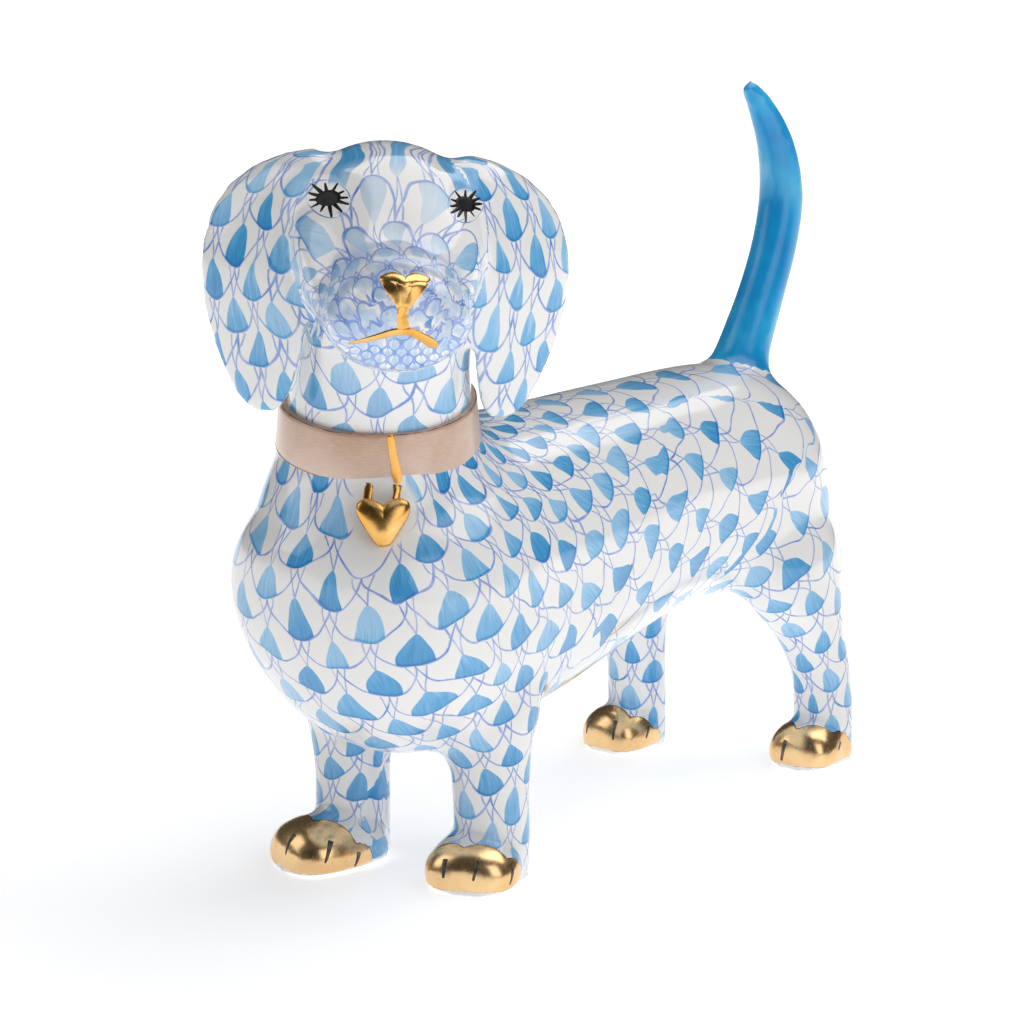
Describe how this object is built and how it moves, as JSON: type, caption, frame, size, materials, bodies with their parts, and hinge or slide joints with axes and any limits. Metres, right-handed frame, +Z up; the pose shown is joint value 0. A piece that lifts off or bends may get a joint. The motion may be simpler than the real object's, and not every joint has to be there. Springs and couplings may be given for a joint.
{
  "type": "dog figurine",
  "caption": "Standing porcelain dachshund with a turned head, long ears, upright tail, scale pattern in blue, gilded paws, nose and mouth, and a collar with a heart tag.",
  "frame": {"origin": "middle of the figure's box, on the ground under the soles", "axes": "+Z up, the dog faces -Y, +X is the dog's own left side"},
  "size_m": [0.0484, 0.12, 0.101],
  "materials": {
    "porcelain": "clear gloss glaze over hand-painted blue scales",
    "cobalt_glaze": "gloss glaze, brushed blue",
    "tan_enamel": "gloss overglaze enamel, brushed",
    "brown_enamel": "gloss overglaze enamel line",
    "black_enamel": "gloss overglaze enamel",
    "gold": "burnished liquid gold, mirror bright"
  },
  "bodies": {
    "root": {"torso": "porcelain", "head": "porcelain", "left_ear": "porcelain", "right_ear": "porcelain", "tail": "cobalt_glaze", "front_left_leg": "porcelain", "front_right_leg": "porcelain", "rear_left_leg": "porcelain", "rear_right_leg": "porcelain", "front_left_paw_gilding": "gold", "front_right_paw_gilding": "gold", "rear_left_paw_gilding": "gold", "rear_right_paw_gilding": "gold", "front_left_toe_lines": "black_enamel", "front_right_toe_lines": "black_enamel", "rear_left_toe_lines": "black_enamel", "rear_right_toe_lines": "black_enamel", "collar": "tan_enamel", "collar_edge_lines": "brown_enamel", "heart_tag": "gold", "tag_loops": "gold", "nose_gilding": "gold", "mouth_gilding": "gold", "left_eye": "black_enamel", "right_eye": "black_enamel"}
  },
  "joints": []
}
